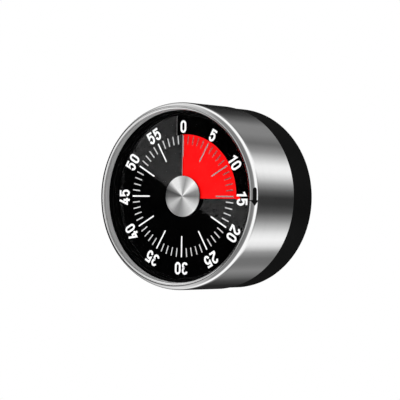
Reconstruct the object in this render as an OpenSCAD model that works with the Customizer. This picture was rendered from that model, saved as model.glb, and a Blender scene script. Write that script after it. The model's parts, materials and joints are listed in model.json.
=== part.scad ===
// Sixty minute kitchen timer with a turning steel ring, a red time disc and a clockwork movement.
// Every piece is drawn lying on its back: z runs from the back face to the front, y is up on the
// dial and x is to the right. stand() then sets it upright, so that the dial faces -Y.

/* [Outside] */
// Outer radius of the steel ring
ring_r = 40; // [39.8:0.1:41]
// Depth from the back face to the crest of the ring's lip
total_depth = 48.65; // [48.4:0.05:50]
// Depth of the steel ring
ring_depth = 31.87; // [30:0.01:32]
// Outer radius of the black base
base_r = 39.54; // [39.3:0.02:39.8]
// Wall of the steel ring
ring_wall = 0.8; // [0.6:0.1:0.9]

/* [Front lip] */
// Radius of the lip's crest
crest_r = 38.1; // [37.8:0.1:38.3]
// Depth over which the lip rounds into the ring's side
lip_round = 4.2; // [3:0.1:5]
// Radius where the lip's flat land starts to slope in
land_r = 37; // [36.9:0.05:37.1]
// Depth over which the land rounds into that slope
inner_round = 0.6; // [0.4:0.1:1.4]
// Inner radius of the lip
lip_r = 36.74; // [36.6:0.02:36.9]
// Depth of the lip's inner edge
lip_depth = 2.79; // [2.6:0.01:2.9]

/* [Dial] */
// Depth of the lens's front face
lens_depth = 4.9; // [4.8:0.1:5]
// Thickness of the lens
lens_t = 0.8; // [0.7:0.1:0.8]
// Outer radius of the fixed scale foil
foil_r = 35.8; // [35.6:0.1:35.9]
// Advance of the red disc in one turn
disc_pitch = 1.2; // [1:0.1:1.2]
// Angle that the red disc spans
disc_span = 352; // [340:1:354]
// Minutes set, from 0 to 57.5
minutes_set = 15; // [15:15:15]
// Radius where the dial's slit steps back
slit_step_r = 26.4; // [26:0.1:27]
// Distance of the slit's edge from 12 o'clock inside that radius
slit_back = 1; // [0.5:0.1:2]
// Distance of the slit's edge from 12 o'clock outside that radius
slit_step_back = 4; // [3:0.1:4.5]
// Distance of the red disc's front edge past its minute
disc_past = 0.87; // [0:0.01:1]
// Radius of the hub cap
cap_r = 8.72; // [8.6:0.02:8.8]

/* [Gear train] */
// Tooth size of the great wheel and the pinion it drives
great_module = 0.4; // [0.4:0.01:0.4]
// Tooth size of the other wheels
train_module = 0.35; // [0.35:0.01:0.35]
// Teeth of the great wheel
great_teeth = 80; // [80:1:80]
// Teeth of the second wheel
second_teeth = 70; // [70:1:70]
// Teeth of the third wheel
third_teeth = 60; // [60:1:60]
// Teeth of every pinion
pinion_teeth = 10; // [10:1:10]
// Teeth of the escape wheel
escape_teeth = 15; // [13:1:17]
// Teeth of the ratchet wheel
ratchet_teeth = 24; // [24:1:24]

/* [Hidden] */
$fn = 64;
cut = 1;                     // extra length of a cutting tool
touch = 0.01;                // overlap that makes two shapes of one piece join
running = 0.06;              // radial clearance of a running fit
clear = 0.05;                // radial clearance of a screw or pin in its hole

// Heights of the layers above the back face
function front(d) = total_depth - d;
ring_z = front(ring_depth);
base_gap = 0.33;
base_top = ring_z - base_gap;
lens_back = front(lens_depth + lens_t);
foil_t = 0.2;
foil_gap = 0.2;
foil_back = lens_back - foil_gap - foil_t;
dial_t = 0.4;
disc_t = 0.2;
disc_above_dial = 0.45;
disc_z0 = front(7.5);        // front of the red disc where it comes out of the slit
rim_step_z = front(8.6);
barrel_top = front(9.45);

// Barrel and liner
barrel_r = 35.2;
barrel_in_r = 33.2;
barrel_flange_r = 37.2;
barrel_flange_t = 3;
inner_flange_r = 27.5;
inner_flange_z = 11.8;
inner_flange_t = 2;
lip_back = 3.2;              // depth of the lip's rear face
seat_depth = lip_back + clear;
liner_r = ring_r - ring_wall - clear;
liner_front_r = 36;
liner_relief_r = 37.2;
liner_land = 5;
lens_r = 38.2;

// Movement
back_plate_z = 15;
plate_t = 1.2;
front_plate_z = 30;
back_plate_r = 30.9;
front_plate_r = 32.9;
arbor_r = 2.5;
arbor_pivot_r = 1.5;
staff_r = 0.9;
pivot_r = 0.5;
pivot_clear = 0.04;
great_z = 17;
great_t = 1.2;
ratchet_z = 19;
second_z = 21;
third_z = 22.7;
escape_z = 26.4;
wheel_t = 0.8;

// Tooth form
pressure = 25;
addendum = 0.8;
dedendum = 1.05;
backlash = 0.14;

function pitch_r(m, n) = m * n / 2;
great_r = pitch_r(great_module, great_teeth);
d_second = great_r + pitch_r(great_module, pinion_teeth);
c_third = pitch_r(train_module, second_teeth + pinion_teeth);
c_escape = pitch_r(train_module, third_teeth + pinion_teeth);
c_anchor = 10.5;
d_third = 19;
d_escape = 22;
d_anchor = 22.5;
function angle_between(a, b, c) = acos((a * a + b * b - c * c) / (2 * a * b));
a_second = 200;
a_third = a_second - angle_between(d_second, d_third, c_third);
a_escape = a_third - angle_between(d_third, d_escape, c_escape);
a_anchor = a_escape - angle_between(d_escape, d_anchor, c_anchor);
function polar(r, a) = [r * cos(a), r * sin(a)];
second_at = polar(d_second, a_second);
third_at = polar(d_third, a_third);
escape_at = polar(d_escape, a_escape);
anchor_at = polar(d_anchor, a_anchor);
function bearing(p, q) = atan2(q[1] - p[1], q[0] - p[0]);

// Turn of a driven gear, about its own axis, that puts its gaps on the driver's teeth.
// b is the bearing from the driver to the driven gear and a is the driver's own turn.
function mesh_turn(b, a, n1, n2) = b + 180 - 180 / n2 + (b - a) * n1 / n2;
second_turn = mesh_turn(a_second, 0, great_teeth, pinion_teeth);
third_turn = mesh_turn(bearing(second_at, third_at), 0, second_teeth, pinion_teeth);
escape_turn = mesh_turn(bearing(third_at, escape_at), 0, third_teeth, pinion_teeth);

// Fixings
pillar_at = [for (a = [65, 250, 345]) polar(28, a)];
pillar_r = 1.8;
pillar_screw_r = 0.8;
lug_at = [for (a = [20, 140, 260]) polar(30, a)];
lug_r = 2.4;
lug_t = 2;
movement_screw_r = 0.95;
boss_angles = [45, 135, 225, 315];
boss_at = [for (a = boss_angles) polar(30.2, a)];
boss_r = 3;
barrel_screw_r = 1;
floor_z = 2.4;
pocket_floor_z = 8.2;

// Striking work
hammer_at = polar(25, 300);
hammer_arbor_r = 0.8;
gong_r = 22;
head_r = 1.6;
head_gap = 0.4;
head_at = polar(gong_r + head_gap + head_r, 275);
cam_z = 32.4;
cam_r = 9;
trip_tip = polar(cam_r + 0.7, 290);

// Click
click_at = polar(12, 50);
ratchet_tip_r = 8;
ratchet_root_r = 7;
spring_anchor_at = polar(11.9, 338);

module stand() {
    rotate([90, 0, 0]) children();
}

module at(p, z) {
    translate([p[0], p[1], z]) children();
}

module disc(r, z, h) {
    translate([0, 0, z]) cylinder(r = r, h = h);
}

module ring(r_out, r_in, z, h) {
    difference() {
        disc(r_out, z, h);
        disc(r_in, z - cut, h + 2 * cut);
    }
}

module plate(z, h) {
    translate([0, 0, z]) linear_extrude(height = h) children();
}

module turned(points) {
    rotate_extrude($fn = 96) polygon(points);
}

// Points on an ellipse about c, from angle a to angle b
function ellipse(c, rx, ry, a, b, n) =
    [for (i = [0 : n]) let (t = a + (b - a) * i / n) [c[0] + rx * cos(t), c[1] + ry * sin(t)]];

// ---- Gears ----

function involute(a) = tan(a) * 180 / PI - a;

// Half of the angle that a tooth fills at radius r
function half_tooth(m, n, r) =
    let (rp = pitch_r(m, n), rb = rp * cos(pressure), s = PI * m / 2 * (1 - backlash))
    s / 2 / rp * 180 / PI + involute(pressure) - involute(acos(min(1, rb / r)));

function tooth(m, n, c) =
    let (rp = pitch_r(m, n), rb = rp * cos(pressure), root = rp - dedendum * m,
         tip = rp + addendum * m, start = max(rb, root),
         rs = [root, start, rp * 0.6 + start * 0.4, rp, (rp + tip) / 2, tip])
    concat(
        [for (i = [0 : 5]) polar(rs[i], c - half_tooth(m, n, max(rs[i], rb)))],
        [for (i = [5 : -1 : 0]) polar(rs[i], c + half_tooth(m, n, max(rs[i], rb)))]
    );

module gear_outline(m, n) {
    polygon([for (k = [0 : n - 1]) each tooth(m, n, 360 * k / n)]);
}

module spokes_cut(r_in, r_out, count, width, a0) {
    difference() {
        circle(r = r_out);
        circle(r = r_in);
        for (k = [0 : count - 1]) {
            rotate(a0 + 360 * k / count) translate([0, -width / 2]) square([r_out + cut, width]);
        }
    }
}

module wheel(m, n, bore_r, hub_r, rim, count, width, a0) {
    difference() {
        gear_outline(m, n);
        circle(r = bore_r);
        spokes_cut(hub_r, pitch_r(m, n) - rim, count, width, a0);
    }
}

// A steel staff with a pivot at each end
module staff(low, high) {
    disc(staff_r, low, high - low);
    disc(pivot_r, back_plate_z + 0.1, low - back_plate_z - 0.1 + touch);
    disc(pivot_r, high - touch, front_plate_z + plate_t - 0.1 - high + touch);
}

module pinion(p, turn, m, z, h) {
    at(p, 0) {
        staff(back_plate_z + plate_t + 0.1, front_plate_z - 0.1);
        rotate(turn) plate(z, h) gear_outline(m, pinion_teeth);
    }
}

// ---- Turning front group ----

// Outside of the ring, from its rear edge round the lip to the lip's inner edge
function ring_outside(grow) =
    concat(
        [[ring_r + grow, ring_z]],
        ellipse([crest_r, front(lip_round)], ring_r - crest_r + grow, lip_round + grow, 0, 90, 16),
        ellipse([crest_r, front(inner_round)], crest_r - land_r + grow, inner_round + grow, 100, 180, 6),
        [[lip_r - grow, front(lip_depth)]]
    );

module bezel_ring() {
    color("silver") stand() turned(concat(
        ring_outside(0),
        [[lip_r, front(lip_back)], [ring_r - ring_wall, front(lip_back)], [ring_r - ring_wall, ring_z]]
    ));
}

// Arrow on the lip's round shoulder at 3 o'clock: it points down, the way the ring is wound
arrow_t = 0.06;
arrow_top = 3.8;
arrow_tip = -3.9;
arrow_head = 2.4;
arrow_w = 2;
arrow_head_w = 4.1;
arrow_turn = 43;             // place on the lip's ellipse
arrow_reach = 1.2;           // half the depth of the block that cuts the arrow out
arrow_at = [crest_r + (ring_r - crest_r) * cos(arrow_turn), front(lip_round * (1 - sin(arrow_turn)))];
arrow_lean = atan2(cos(arrow_turn) / (ring_r - crest_r), sin(arrow_turn) / lip_round);

module arrow_outline() {
    polygon(concat(
        ellipse([0, arrow_top - arrow_w / 2], arrow_w / 2, arrow_w / 2, 0, 180, 8),
        [
            [-arrow_w / 2, arrow_tip + arrow_head], [-arrow_head_w / 2, arrow_tip + arrow_head],
            [0, arrow_tip], [arrow_head_w / 2, arrow_tip + arrow_head],
            [arrow_w / 2, arrow_tip + arrow_head]
        ]
    ));
}

module direction_arrow() {
    outer = ring_outside(arrow_t);
    inner = ring_outside(0);
    color("black") stand() intersection() {
        turned(concat(outer, [for (i = [len(inner) - 1 : -1 : 0]) inner[i]]));
        translate([arrow_at[0], 0, arrow_at[1]]) rotate([0, arrow_lean, 0])
            plate(-arrow_reach, 2 * arrow_reach) arrow_outline();
    }
}

module ring_liner() {
    low = ring_z + 0.4;
    color("dimgray") stand() turned([
        [liner_r, low], [liner_r, front(seat_depth)], [lens_r + clear, front(seat_depth)],
        [lens_r + clear, lens_back], [liner_front_r, lens_back], [liner_front_r, barrel_top - 0.2],
        [barrel_r + running, barrel_top - 0.2], [barrel_r + running, barrel_top - liner_land],
        [liner_relief_r, barrel_top - liner_land - 1], [liner_relief_r, low + liner_land + 1],
        [barrel_r + running, low + liner_land], [barrel_r + running, low]
    ]);
}

module lens_retainer() {
    seat_slope = 0.3;
    color("black") stand() turned([
        [lens_r, front(lens_depth)], [lens_r, front(seat_depth)],
        [lip_r, front(seat_depth)], [lip_r - seat_slope, front(lens_depth)]
    ]);
}

module lens() {
    color("lightblue", 0.3) stand() disc(lens_r, lens_back, lens_t);
}

cap_t = 0.4;
cap_top = lens_back - clear;
hub_r = 7.6;
hub_low = 36.5;
hub_top = cap_top - cap_t;
arbor_top = 40.2;
seat_z = 41.2;
hub_screw_r = 1.2;
hub_screw_low = 36.8;
hub_screw_head_r = 2.5;
hub_screw_play = 0.1;

module hub_cap() {
    chamfer = 0.2;
    color("gainsboro") stand() turned([
        [0, cap_top - cap_t], [cap_r, cap_top - cap_t], [cap_r, cap_top - chamfer],
        [cap_r - 2 * chamfer, cap_top], [0, cap_top]
    ]);
}

key_w = 1.4;
key_depth = 0.8;
key_angles = [0, 90, 180, 270];

module lens_hub() {
    color("dimgray") stand() difference() {
        disc(hub_r, hub_low, hub_top - hub_low);
        disc(arbor_r, hub_low - cut, arbor_top - hub_low + cut);
        disc(hub_screw_r + hub_screw_play, hub_low, hub_top);
        disc(hub_screw_head_r + hub_screw_play, seat_z, hub_top);
        for (a = key_angles) {
            rotate(a) translate([hub_r - key_depth, -key_w / 2, hub_low - cut])
                cube([2 * key_depth, key_w, hub_top - hub_low]);
        }
    }
}

module hub_screw() {
    head_t = 1;
    slot_w = 0.6;
    slot_length = 2 * hub_screw_head_r + cut;
    color("silver") stand() difference() {
        union() {
            disc(hub_screw_r, hub_screw_low, seat_z - hub_screw_low + touch);
            disc(hub_screw_head_r, seat_z, head_t);
        }
        translate([-slot_length / 2, -slot_w / 2, seat_z + head_t / 2]) cube([slot_length, slot_w, head_t]);
    }
}

module winding_arbor() {
    pivot_low = back_plate_z + 0.1;
    pivot_length = 1.5;
    shoulder = back_plate_z + 1.4;
    color("silver") stand() difference() {
        union() {
            disc(arbor_pivot_r, pivot_low, pivot_length);
            disc(arbor_r, shoulder, arbor_top - shoulder);
        }
        disc(hub_screw_r + clear, hub_screw_low - hub_screw_play, arbor_top);
    }
}

module arbor_collar() {
    color("silver") stand() ring(4.5, arbor_r, front_plate_z + plate_t + 0.1, 1);
}

module arbor_washer() {
    color("silver") stand() ring(4.2, arbor_r, great_z - 0.65, 0.55);
}

// The notch meets the trip arm when no minutes are left
module alarm_cam() {
    notch_angle = 290 - 360 * minutes_set / 60;
    color("goldenrod") stand() plate(cam_z, 1.2) difference() {
        circle(r = cam_r);
        circle(r = arbor_r);
        rotate(notch_angle) translate([cam_r - 2, -1.5]) square([4, 3]);
    }
}

module ratchet_wheel() {
    step = 360 / ratchet_teeth;
    color("silver") stand() plate(ratchet_z, great_t) difference() {
        polygon([for (k = [0 : ratchet_teeth - 1])
            each [polar(ratchet_tip_r, k * step), polar(ratchet_root_r, k * step)]]);
        circle(r = arbor_r);
    }
}

// ---- Red disc: one turn of a helicoid that the ring screws forward ----

// A thin helicoid between two radii. Angles run clockwise from 12 o'clock and z rises with them.
// Each end is cut straight, parallel to the radius at its angle and the given distance past it.
module helicoid(r0, r1, start, end, z_at_0, rise, t, n) {
    function reach(r, edge) = edge[0] + asin(edge[1] / r);
    function corner(r, i, dz) =
        let (a = reach(r, start) + (reach(r, end) - reach(r, start)) * i / n)
        concat(polar(r, 90 - a), [z_at_0 + rise * a / 360 + dz]);
    points = [for (i = [0 : n])
        each [corner(r0, i, 0), corner(r1, i, 0), corner(r1, i, -t), corner(r0, i, -t)]];
    sides = [for (i = [0 : n - 1], j = [0 : 3]) let (p = 4 * i, q = 4 * i + 4, k = (j + 1) % 4)
        each [[p + j, q + k, q + j], [p + j, p + k, q + k]]];
    last = 4 * n;
    polyhedron(points, concat(sides, [[3, 2, 1, 0], [last, last + 1, last + 2, last + 3]]));
}

disc_lead_a = 360 * minutes_set / 60;
disc_r = 34.4;
collar_r = 8.3;

module time_disc() {
    collar_gap = 0.02;
    color("red") stand() helicoid(
        collar_r + collar_gap, disc_r, [disc_lead_a - disc_span, 0], [disc_lead_a, disc_past],
        disc_z0, disc_pitch, disc_t, 88
    );
}

module disc_collar() {
    low = 38.2;
    high = disc_z0 + disc_pitch * disc_lead_a / 360;
    tab = 1.2;
    color("dimgray") stand() {
        ring(collar_r, hub_r + running, low, high - low);
        for (a = key_angles) {
            rotate(a) translate([hub_r - key_depth + 0.15, -tab / 2, low])
                cube([key_depth - 0.15 + running + 0.3, tab, 1.5]);
        }
    }
}

// ---- Gear train ----

great_hub_r = 5.5;
great_rim = 2.6;
spoke_a = 50;
click_post_r = 1;
spring_pin_r = 0.6;

module great_wheel() {
    color("goldenrod") stand() difference() {
        plate(great_z, great_t)
            wheel(great_module, great_teeth, arbor_r + running, great_hub_r, great_rim, 5, 5, spoke_a);
        at(click_at, great_z - cut) cylinder(r = click_post_r, h = great_t + 2 * cut);
        at(spring_anchor_at, great_z - cut) cylinder(r = spring_pin_r, h = great_t + 2 * cut);
    }
}

module click_post() {
    length = 3.25;
    head_r = 1.6;
    head_t = 0.5;
    color("silver") stand() at(click_at, 0) {
        disc(click_post_r, great_z, length);
        disc(head_r, great_z + length, head_t);
    }
}

module click_spring() {
    leaf = [0.35, 12, 0.8];
    eye_r = 1.1;
    eye_t = 1.8;
    color("silver") stand() {
        at(spring_anchor_at, 0) disc(spring_pin_r, great_z, great_t + eye_t);
        difference() {
            at(spring_anchor_at, 0) disc(eye_r, great_z + great_t, eye_t);
            at(spring_anchor_at, 0) disc(spring_pin_r, great_z, great_t + eye_t + cut);
        }
        translate([spring_anchor_at[0] + 0.2, spring_anchor_at[1], ratchet_z + 0.1]) cube(leaf);
    }
}

// The nose stands behind the steep side of a ratchet tooth
module click() {
    color("silver") stand() plate(ratchet_z, great_t) difference() {
        union() {
            polygon([
                [7.12, 0.09], [8.9, 0.11], [9.7, 4], [9.4, 8.6],
                [6, 8.6], [7.3, 5.2], [8.2, 2.2], [7.64, 0.93]
            ]);
            translate(click_at) circle(r = 1.9);
        }
        translate(click_at) circle(r = click_post_r + running);
    }
}

module second_pinion() {
    color("silver") stand() pinion(second_at, second_turn, great_module, 16.6, 3.4);
}

module second_wheel() {
    color("goldenrod") stand() at(second_at, 0)
        plate(second_z, wheel_t) wheel(train_module, second_teeth, staff_r, 3, 2, 4, 1.8, 20);
}

module third_pinion() {
    color("silver") stand() pinion(third_at, third_turn, train_module, second_z - 0.4, 1.6);
}

module third_wheel() {
    color("goldenrod") stand() at(third_at, 0)
        plate(third_z, wheel_t) wheel(train_module, third_teeth, staff_r, 2.6, 1.8, 4, 1.6, 10);
}

module escape_pinion() {
    color("silver") stand() pinion(escape_at, escape_turn, train_module, third_z - 0.4, 1.6);
}

escape_r = 7.5;
escape_root_r = 6;
escape_t = 0.6;

module escape_wheel() {
    step = 360 / escape_teeth;
    color("goldenrod") stand() at(escape_at, 0) plate(escape_z, escape_t) difference() {
        polygon([for (k = [0 : escape_teeth - 1]) each [
            polar(escape_root_r, k * step), polar(escape_r, k * step + step * 0.35),
            polar(escape_r, k * step + step * 0.42), polar(escape_root_r, k * step + step * 0.6)
        ]]);
        circle(r = staff_r);
        spokes_cut(2, 4.9, 4, 1.2, 0);
    }
}

// Anchor: an arc round the escape wheel that rocks about its own staff
anchor_in_r = 8.1;
anchor_out_r = 9.5;
anchor_half = 36;

module anchor() {
    color("silver") stand() plate(escape_z - 0.1, escape_t + 0.2) difference() {
        union() {
            translate(escape_at) intersection() {
                difference() {
                    circle(r = anchor_out_r);
                    circle(r = anchor_in_r);
                }
                rotate(bearing(escape_at, anchor_at)) polygon([
                    [0, 0], 2 * anchor_out_r * [cos(anchor_half), -sin(anchor_half)],
                    [2 * anchor_out_r, 0], 2 * anchor_out_r * [cos(anchor_half), sin(anchor_half)]
                ]);
            }
            translate(anchor_at) circle(r = 2);
        }
        translate(anchor_at) circle(r = staff_r);
    }
}

module anchor_arbor() {
    color("silver") stand() at(anchor_at, 0) staff(back_plate_z + plate_t + 0.1, front_plate_z - 0.1);
}

module balance_wheel() {
    color("goldenrod") stand() at(anchor_at, 0) plate(18.4, wheel_t) difference() {
        circle(r = 5.5);
        circle(r = staff_r);
        spokes_cut(1.9, 4.2, 2, 1.4, 30);
    }
}

// ---- Striking work ----

module hammer_arbor() {
    color("silver") stand() at(hammer_at, 0) disc(hammer_arbor_r, 10.6, cam_z + 1.6 - 10.6);
}

module lever(p, q, w, end_r) {
    length = norm(q - p);
    translate(p) rotate(bearing(p, q)) translate([0, -w / 2]) square([length, w]);
    translate(p) circle(r = end_r);
}

module hammer() {
    color("goldenrod") stand() difference() {
        union() {
            plate(10.8, 1.2) lever(hammer_at, head_at, 1.6, 1.9);
            at(head_at, 0) disc(head_r, 10.6, 2.8);
        }
        at(hammer_at, 0) disc(hammer_arbor_r, 0, 20);
    }
}

module trip_arm() {
    color("silver") stand() plate(cam_z, 1) difference() {
        lever(hammer_at, trip_tip, 1.2, 1.8);
        translate(hammer_at) circle(r = hammer_arbor_r);
    }
}

// Torsion spring: turns of wire round the hammer's arbor
module hammer_spring() {
    wire_r = 0.2;
    coil_r = 1.25;
    turns = 3;
    per_turn = 16;
    n = turns * per_turn;
    lead = 0.45;
    sides = 8;
    points = [for (i = [0 : n], j = [0 : sides - 1])
        let (a = 360 * i / per_turn, b = 360 * j / sides, r = coil_r + wire_r * cos(b))
        [r * cos(a), r * sin(a), lead * i / per_turn + wire_r * sin(b)]];
    skin = [for (i = [0 : n - 1], j = [0 : sides - 1])
        let (p = i * sides, q = p + sides, k = (j + 1) % sides)
        each [[p + j, q + k, q + j], [p + j, p + k, q + k]]];
    ends = [[for (j = [sides - 1 : -1 : 0]) j], [for (j = [0 : sides - 1]) n * sides + j]];
    color("silver") stand() at(hammer_at, 28.1) polyhedron(points, concat(skin, ends));
}

module gong() {
    color("silver") stand() turned(concat(
        ellipse([16, 13], gong_r - 16, 4, 0, -90, 9), [[1.5 + clear, 9], [1.5 + clear, 9.8]],
        ellipse([16, 13], gong_r - 16.8, 3.2, -90, 0, 9)
    ));
}

module gong_post() {
    color("silver") stand() difference() {
        disc(3, 9.8, back_plate_z - 9.8);
        disc(1.5 + clear, 9, 4);
    }
}

module gong_screw() {
    color("silver") stand() difference() {
        union() {
            disc(2.8, 8.3, 0.7);
            disc(1.5, 8.8, 3.8);
        }
        translate([-3, -0.4, 8]) cube([6, 0.8, 0.6]);
    }
}

// ---- Housing ----

module rear_housing() {
    edge = 1.2;
    back_z = 0.4;
    slot_w = 1.6;
    color("black") stand() difference() {
        union() {
            turned(concat(
                [[0, pocket_floor_z - 2], [23.2, pocket_floor_z - 2], [23.2, 1], [24.3, 1], [24.3, back_z]],
                ellipse([base_r - edge, back_z + edge], edge, edge, -90, 0, 6),
                ellipse([base_r - 0.4, base_top - 0.4], 0.4, 0.4, 0, 90, 4),
                [[barrel_flange_r + clear, base_top], [barrel_flange_r + clear, floor_z],
                 [26, floor_z], [26, pocket_floor_z], [0, pocket_floor_z]]
            ));
            for (p = boss_at) {
                at(p, floor_z - touch) cylinder(r = boss_r, h = inner_flange_z - floor_z + touch);
            }
        }
        for (p = boss_at) {
            at(p, floor_z + 1) cylinder(r = barrel_screw_r + clear, h = inner_flange_z);
        }
        for (k = [-3 : 3]) {
            rotate(270 + 8 * k) translate([28.5, -slot_w / 2, -cut]) cube([7, slot_w, floor_z + 2 * cut]);
        }
    }
}

module lug(p) {
    reach = barrel_in_r + 0.5 - norm(p);
    at(p, front_plate_z - lug_t) rotate(atan2(p[1], p[0])) linear_extrude(height = lug_t)
        polygon(concat(ellipse([0, 0], lug_r, lug_r, 90, 270, 8), [[reach, -lug_r], [reach, lug_r]]));
}

module barrel() {
    flange_z = base_top - barrel_flange_t;
    color("dimgray") stand() difference() {
        union() {
            turned([
                [inner_flange_r, inner_flange_z], [barrel_r, inner_flange_z], [barrel_r, flange_z],
                [barrel_flange_r, flange_z], [barrel_flange_r, base_top], [barrel_r, base_top],
                [barrel_r, barrel_top], [barrel_in_r, barrel_top],
                [barrel_in_r, inner_flange_z + inner_flange_t],
                [inner_flange_r, inner_flange_z + inner_flange_t]
            ]);
            for (p = lug_at) {
                lug(p);
            }
        }
        for (p = boss_at) {
            at(p, inner_flange_z - cut) cylinder(r = barrel_screw_r + clear, h = inner_flange_t + 2 * cut);
        }
        for (p = lug_at) {
            at(p, 20) cylinder(r = movement_screw_r + clear, h = 12);
        }
    }
}

module cap_screw(p, z, length, r, head, head_t, up) {
    at(p, z) mirror([0, 0, up ? 0 : 1]) difference() {
        union() {
            translate([0, 0, -length]) cylinder(r = r, h = length + touch);
            cylinder(r = head, h = head_t);
        }
        translate([-head - cut, -0.25, head_t / 2]) cube([2 * head + 2 * cut, 0.5, head_t]);
    }
}

module barrel_screws() {
    color("silver") stand() for (p = boss_at) {
        cap_screw(p, inner_flange_z + inner_flange_t, 9, barrel_screw_r, 1.9, 0.9, true);
    }
}

module dial_rim() {
    rim_in_r = 34.75;
    color("black") stand() turned([
        [rim_in_r, barrel_top], [barrel_r - clear, barrel_top], [barrel_r - clear, rim_step_z],
        [foil_r, rim_step_z], [foil_r, foil_back], [rim_in_r, foil_back]
    ]);
}

// Fixed dial: the same helicoid as the red disc, a little behind it, cut beside 12 o'clock
module dial_sheet() {
    z0 = disc_z0 - disc_above_dial;
    inner_r = 8.5;
    outer_r = 34.73;
    lap = 0.02;
    color("black") stand() union() {
        helicoid(
            inner_r, slit_step_r + lap, [0, -slit_back], [360, -slit_back],
            z0, disc_pitch, dial_t, 90
        );
        helicoid(
            slit_step_r, outer_r, [0, -slit_step_back], [360, -slit_step_back],
            z0, disc_pitch, dial_t, 90
        );
    }
}

module scale_foil() {
    color("white", 0.3) stand() ring(foil_r, cap_r + 0.48, foil_back, foil_t);
}

module pivot_holes(z) {
    for (p = [second_at, third_at, escape_at, anchor_at]) {
        at(p, z - cut) cylinder(r = pivot_r + pivot_clear, h = plate_t + 2 * cut);
    }
    at(hammer_at, z - cut) cylinder(r = hammer_arbor_r + running, h = plate_t + 2 * cut);
    for (p = pillar_at) {
        at(p, z - cut) cylinder(r = pillar_screw_r + clear, h = plate_t + 2 * cut);
    }
}

module front_plate() {
    color("khaki") stand() difference() {
        disc(front_plate_r, front_plate_z, plate_t);
        disc(arbor_r + running, front_plate_z - cut, plate_t + 2 * cut);
        pivot_holes(front_plate_z);
        for (p = lug_at) {
            at(p, front_plate_z - cut) cylinder(r = movement_screw_r + 0.15, h = plate_t + 2 * cut);
        }
    }
}

module back_plate() {
    color("khaki") stand() difference() {
        disc(back_plate_r, back_plate_z, plate_t);
        disc(arbor_pivot_r + running, back_plate_z - cut, plate_t + 2 * cut);
        pivot_holes(back_plate_z);
    }
}

module pillars() {
    low = back_plate_z + plate_t;
    depth = 4;
    color("goldenrod") stand() for (p = pillar_at) {
        at(p, 0) difference() {
            disc(pillar_r, low, front_plate_z - low);
            disc(pillar_screw_r + clear, low - cut, depth + cut);
            disc(pillar_screw_r + clear, front_plate_z - depth, depth + cut);
        }
    }
}

module pillar_screws() {
    length = 4.5;
    color("silver") stand() for (p = pillar_at) {
        cap_screw(p, front_plate_z + plate_t, length, pillar_screw_r, 1.6, 0.8, true);
        cap_screw(p, back_plate_z, length, pillar_screw_r, 1.6, 0.8, false);
    }
}

module movement_screws() {
    color("silver") stand() for (p = lug_at) {
        cap_screw(p, front_plate_z + plate_t, 3, movement_screw_r, 1.9, 1, true);
    }
}

// Mainspring: a flat ribbon wound in a spiral round the arbor
spring_in_r = 3.1;
spring_out_r = 11.6;
spring_turns = 7;
spring_t = 0.4;
spring_z = 24.2;
spring_h = 5;

module mainspring() {
    n = spring_turns * 24;
    function spiral(i, dr) =
        polar(spring_in_r + (spring_out_r - spring_in_r) * i / n + dr, 360 * spring_turns * i / n);
    color("slategray") stand() plate(spring_z, spring_h) polygon(concat(
        [for (i = [0 : n]) spiral(i, 0)],
        [for (i = [n : -1 : 0]) spiral(i, spring_t)]
    ));
}

module spring_post() {
    post_r = 0.9;
    low = spring_z - 0.2;
    color("silver") stand()
        at([spring_out_r + spring_t + post_r, 0], 0) disc(post_r, low, front_plate_z - low);
}

module magnet_ring() {
    color("gray") stand() ring(22.5, 9, 1, pocket_floor_z - 4.2);
}

module magnet_yoke() {
    color("silver") stand() disc(22.5, pocket_floor_z - 3.2, 1.2);
}

module back_pad() {
    color("darkslategray") stand() disc(24, 0, 1);
}

bezel_ring();
direction_arrow();
ring_liner();
lens_retainer();
lens();
hub_cap();
lens_hub();
hub_screw();
winding_arbor();
arbor_collar();
arbor_washer();
alarm_cam();
ratchet_wheel();
time_disc();
disc_collar();
great_wheel();
click_post();
click_spring();
click();
second_pinion();
second_wheel();
third_pinion();
third_wheel();
escape_pinion();
escape_wheel();
anchor();
anchor_arbor();
balance_wheel();
hammer_arbor();
hammer();
trip_arm();
hammer_spring();
rear_housing();
barrel();
barrel_screws();
dial_rim();
dial_sheet();
scale_foil();
front_plate();
back_plate();
pillars();
pillar_screws();
movement_screws();
mainspring();
spring_post();
gong();
gong_post();
gong_screw();
magnet_ring();
magnet_yoke();
back_pad();
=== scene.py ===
# %% [markdown]
# # A sixty minute kitchen timer
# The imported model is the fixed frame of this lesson: every size and place comes from it. Each cell adds one
# finish or one piece on top. The timer hangs upright, with its dial towards -Y and its flat magnetic back at
# y = 0, so a depth behind the front is measured along +Y.

# %% Load the frame
import json
import math
import bmesh
import bpy
from mathutils import Matrix, Vector


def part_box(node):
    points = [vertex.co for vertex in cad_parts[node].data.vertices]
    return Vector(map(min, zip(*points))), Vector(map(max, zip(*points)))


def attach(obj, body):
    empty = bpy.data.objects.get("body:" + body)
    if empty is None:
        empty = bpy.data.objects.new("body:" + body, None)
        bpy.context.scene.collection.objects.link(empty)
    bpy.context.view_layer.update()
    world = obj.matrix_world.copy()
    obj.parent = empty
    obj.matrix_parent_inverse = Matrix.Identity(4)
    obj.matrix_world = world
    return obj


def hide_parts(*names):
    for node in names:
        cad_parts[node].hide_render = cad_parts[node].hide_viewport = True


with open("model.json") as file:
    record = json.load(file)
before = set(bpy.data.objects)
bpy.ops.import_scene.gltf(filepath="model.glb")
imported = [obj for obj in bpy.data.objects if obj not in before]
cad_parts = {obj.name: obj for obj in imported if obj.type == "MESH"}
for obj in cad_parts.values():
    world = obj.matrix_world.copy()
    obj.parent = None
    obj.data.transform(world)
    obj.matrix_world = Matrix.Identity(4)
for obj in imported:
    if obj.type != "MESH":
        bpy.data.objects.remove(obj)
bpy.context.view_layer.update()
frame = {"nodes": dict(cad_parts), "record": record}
nodes = frame["nodes"]

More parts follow.
